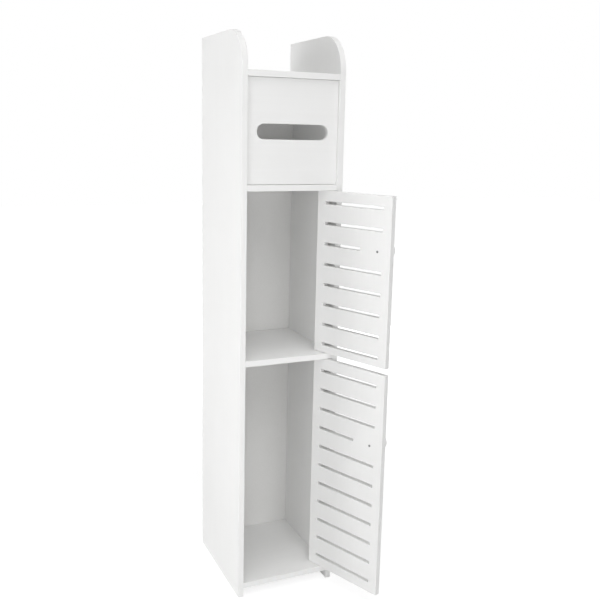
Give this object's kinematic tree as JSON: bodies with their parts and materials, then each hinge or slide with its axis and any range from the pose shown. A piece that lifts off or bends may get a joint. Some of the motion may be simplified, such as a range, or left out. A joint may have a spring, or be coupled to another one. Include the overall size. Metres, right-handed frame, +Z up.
{
  "type": "narrow bathroom cabinet",
  "caption": "Tall narrow white floor cabinet with a tray on top, a slotted flap in front of a paper box, and slotted cupboard doors on pins, hung on the right.",
  "frame": {"origin": "on the floor, at the middle of the footprint of the two side panels", "axes": "+Z up along the height, front towards -Y, right-hand side panel towards +X"},
  "size_m": [0.257, 0.3646, 1.07],
  "materials": {
    "white_board": "white paint on fibreboard, more matt than satin",
    "back_hardboard": "white paint on thin hardboard",
    "dowel_wood": "bare fluted beech",
    "zinc_steel": "zinc plated",
    "screw_steel": "dull grey",
    "knob_finish": "white gloss paint on turned wood",
    "white_plastic": "moulded, matt",
    "soft_pad": "soft, matt"
  },
  "bodies": {
    "cabinet": {"left_side_panel": "white_board", "right_side_panel": "white_board", "top_shelf": "white_board", "paper_shelf": "white_board", "middle_shelf": "white_board", "bottom_shelf": "white_board", "back_board": "back_hardboard", "shelf_dowels": "dowel_wood", "cam_bolts": "zinc_steel", "cam_discs": "zinc_steel", "pivot_bushes": "white_plastic", "flap_stop_rail": "white_board", "upper_door_stop": "white_plastic", "lower_door_stop": "white_plastic", "stop_pads": "soft_pad"},
    "paper_flap": {"paper_flap_panel": "white_board", "flap_left_pin": "zinc_steel", "flap_right_pin": "zinc_steel"},
    "upper_door": {"upper_door_panel": "white_board", "upper_door_knob": "knob_finish", "upper_knob_screw": "screw_steel", "upper_door_top_pin": "zinc_steel", "upper_door_bottom_pin": "zinc_steel", "upper_door_washer": "white_plastic"},
    "lower_door": {"lower_door_panel": "white_board", "lower_door_knob": "knob_finish", "lower_knob_screw": "screw_steel", "lower_door_top_pin": "zinc_steel", "lower_door_bottom_pin": "zinc_steel", "lower_door_washer": "white_plastic"}
  },
  "joints": [
    {"name": "upper_door_hinge", "type": "hinge", "parent": "cabinet", "child": "upper_door", "pos_m": [0.0738, -0.0975, 0.6325], "axis": [0, 0, 1], "range_deg": [-111.6, 5]},
    {"name": "lower_door_hinge", "type": "hinge", "parent": "cabinet", "child": "lower_door", "pos_m": [0.0738, -0.0975, 0.247], "axis": [0, 0, 1], "range_deg": [-111.6, 5]},
    {"name": "paper_flap_hinge", "type": "hinge", "parent": "cabinet", "child": "paper_flap", "pos_m": [0, -0.1047, 0.8201], "axis": [1, 0, 0], "range_deg": [0, 95]}
  ]
}
